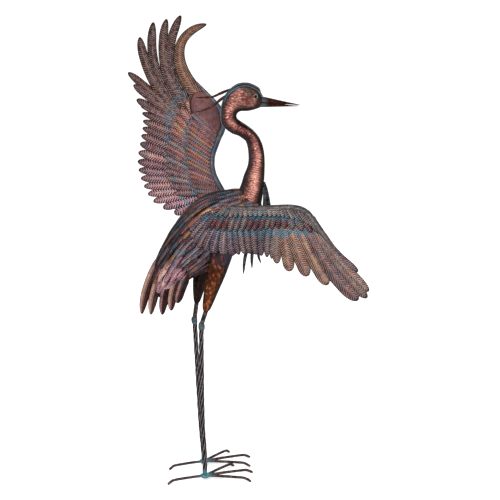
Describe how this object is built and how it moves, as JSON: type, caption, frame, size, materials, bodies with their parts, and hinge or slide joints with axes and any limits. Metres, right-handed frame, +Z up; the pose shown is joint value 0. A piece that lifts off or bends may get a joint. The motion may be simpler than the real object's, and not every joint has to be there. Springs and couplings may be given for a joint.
{
  "type": "heron sculpture",
  "caption": "Standing heron sculpture in formed copper sheet, left wing raised and right wing spread, with crest and breast plumes, on twisted bar legs with long toes.",
  "frame": {"origin": "on the ground below the middle of the bounding box", "axes": "+X the way the bill points, +Y the bird's left, +Z up"},
  "size_m": [0.6116, 0.407, 1.1886],
  "materials": {
    "body_copper": "dark antique copper with teal verdigris",
    "wing_copper": "dark antique copper with red-brown and teal bands",
    "tail_copper": "antique copper, pinkish where rubbed",
    "neck_copper": "hammered copper, bright along the middle",
    "thigh_copper": "hammered copper, orange-brown",
    "bill": "dark red-brown",
    "plume": "near-black metal strip",
    "leg_iron": "dark brown-grey twisted bar with teal welds"
  },
  "bodies": {
    "root": {"bill_lower": "bill", "bill_upper": "bill", "body": "body_copper", "breast_plume_front": "plume", "breast_plume_left": "plume", "breast_plume_right": "plume", "crest_plume_lower": "plume", "crest_plume_upper": "plume", "left_back_toe": "leg_iron", "left_inner_toe": "leg_iron", "left_knee": "leg_iron", "left_leg": "leg_iron", "left_middle_toe": "leg_iron", "left_outer_toe": "leg_iron", "left_thigh": "thigh_copper", "left_wing_flight_feathers": "wing_copper", "left_wing_greater_coverts": "wing_copper", "left_wing_lesser_coverts": "wing_copper", "neck_and_head": "neck_copper", "right_back_toe": "leg_iron", "right_inner_toe": "leg_iron", "right_knee": "leg_iron", "right_leg": "leg_iron", "right_middle_toe": "leg_iron", "right_outer_toe": "leg_iron", "right_thigh": "thigh_copper", "right_wing_flight_feathers": "wing_copper", "right_wing_greater_coverts": "wing_copper", "right_wing_lesser_coverts": "wing_copper", "tail_feathers": "tail_copper"}
  },
  "joints": []
}
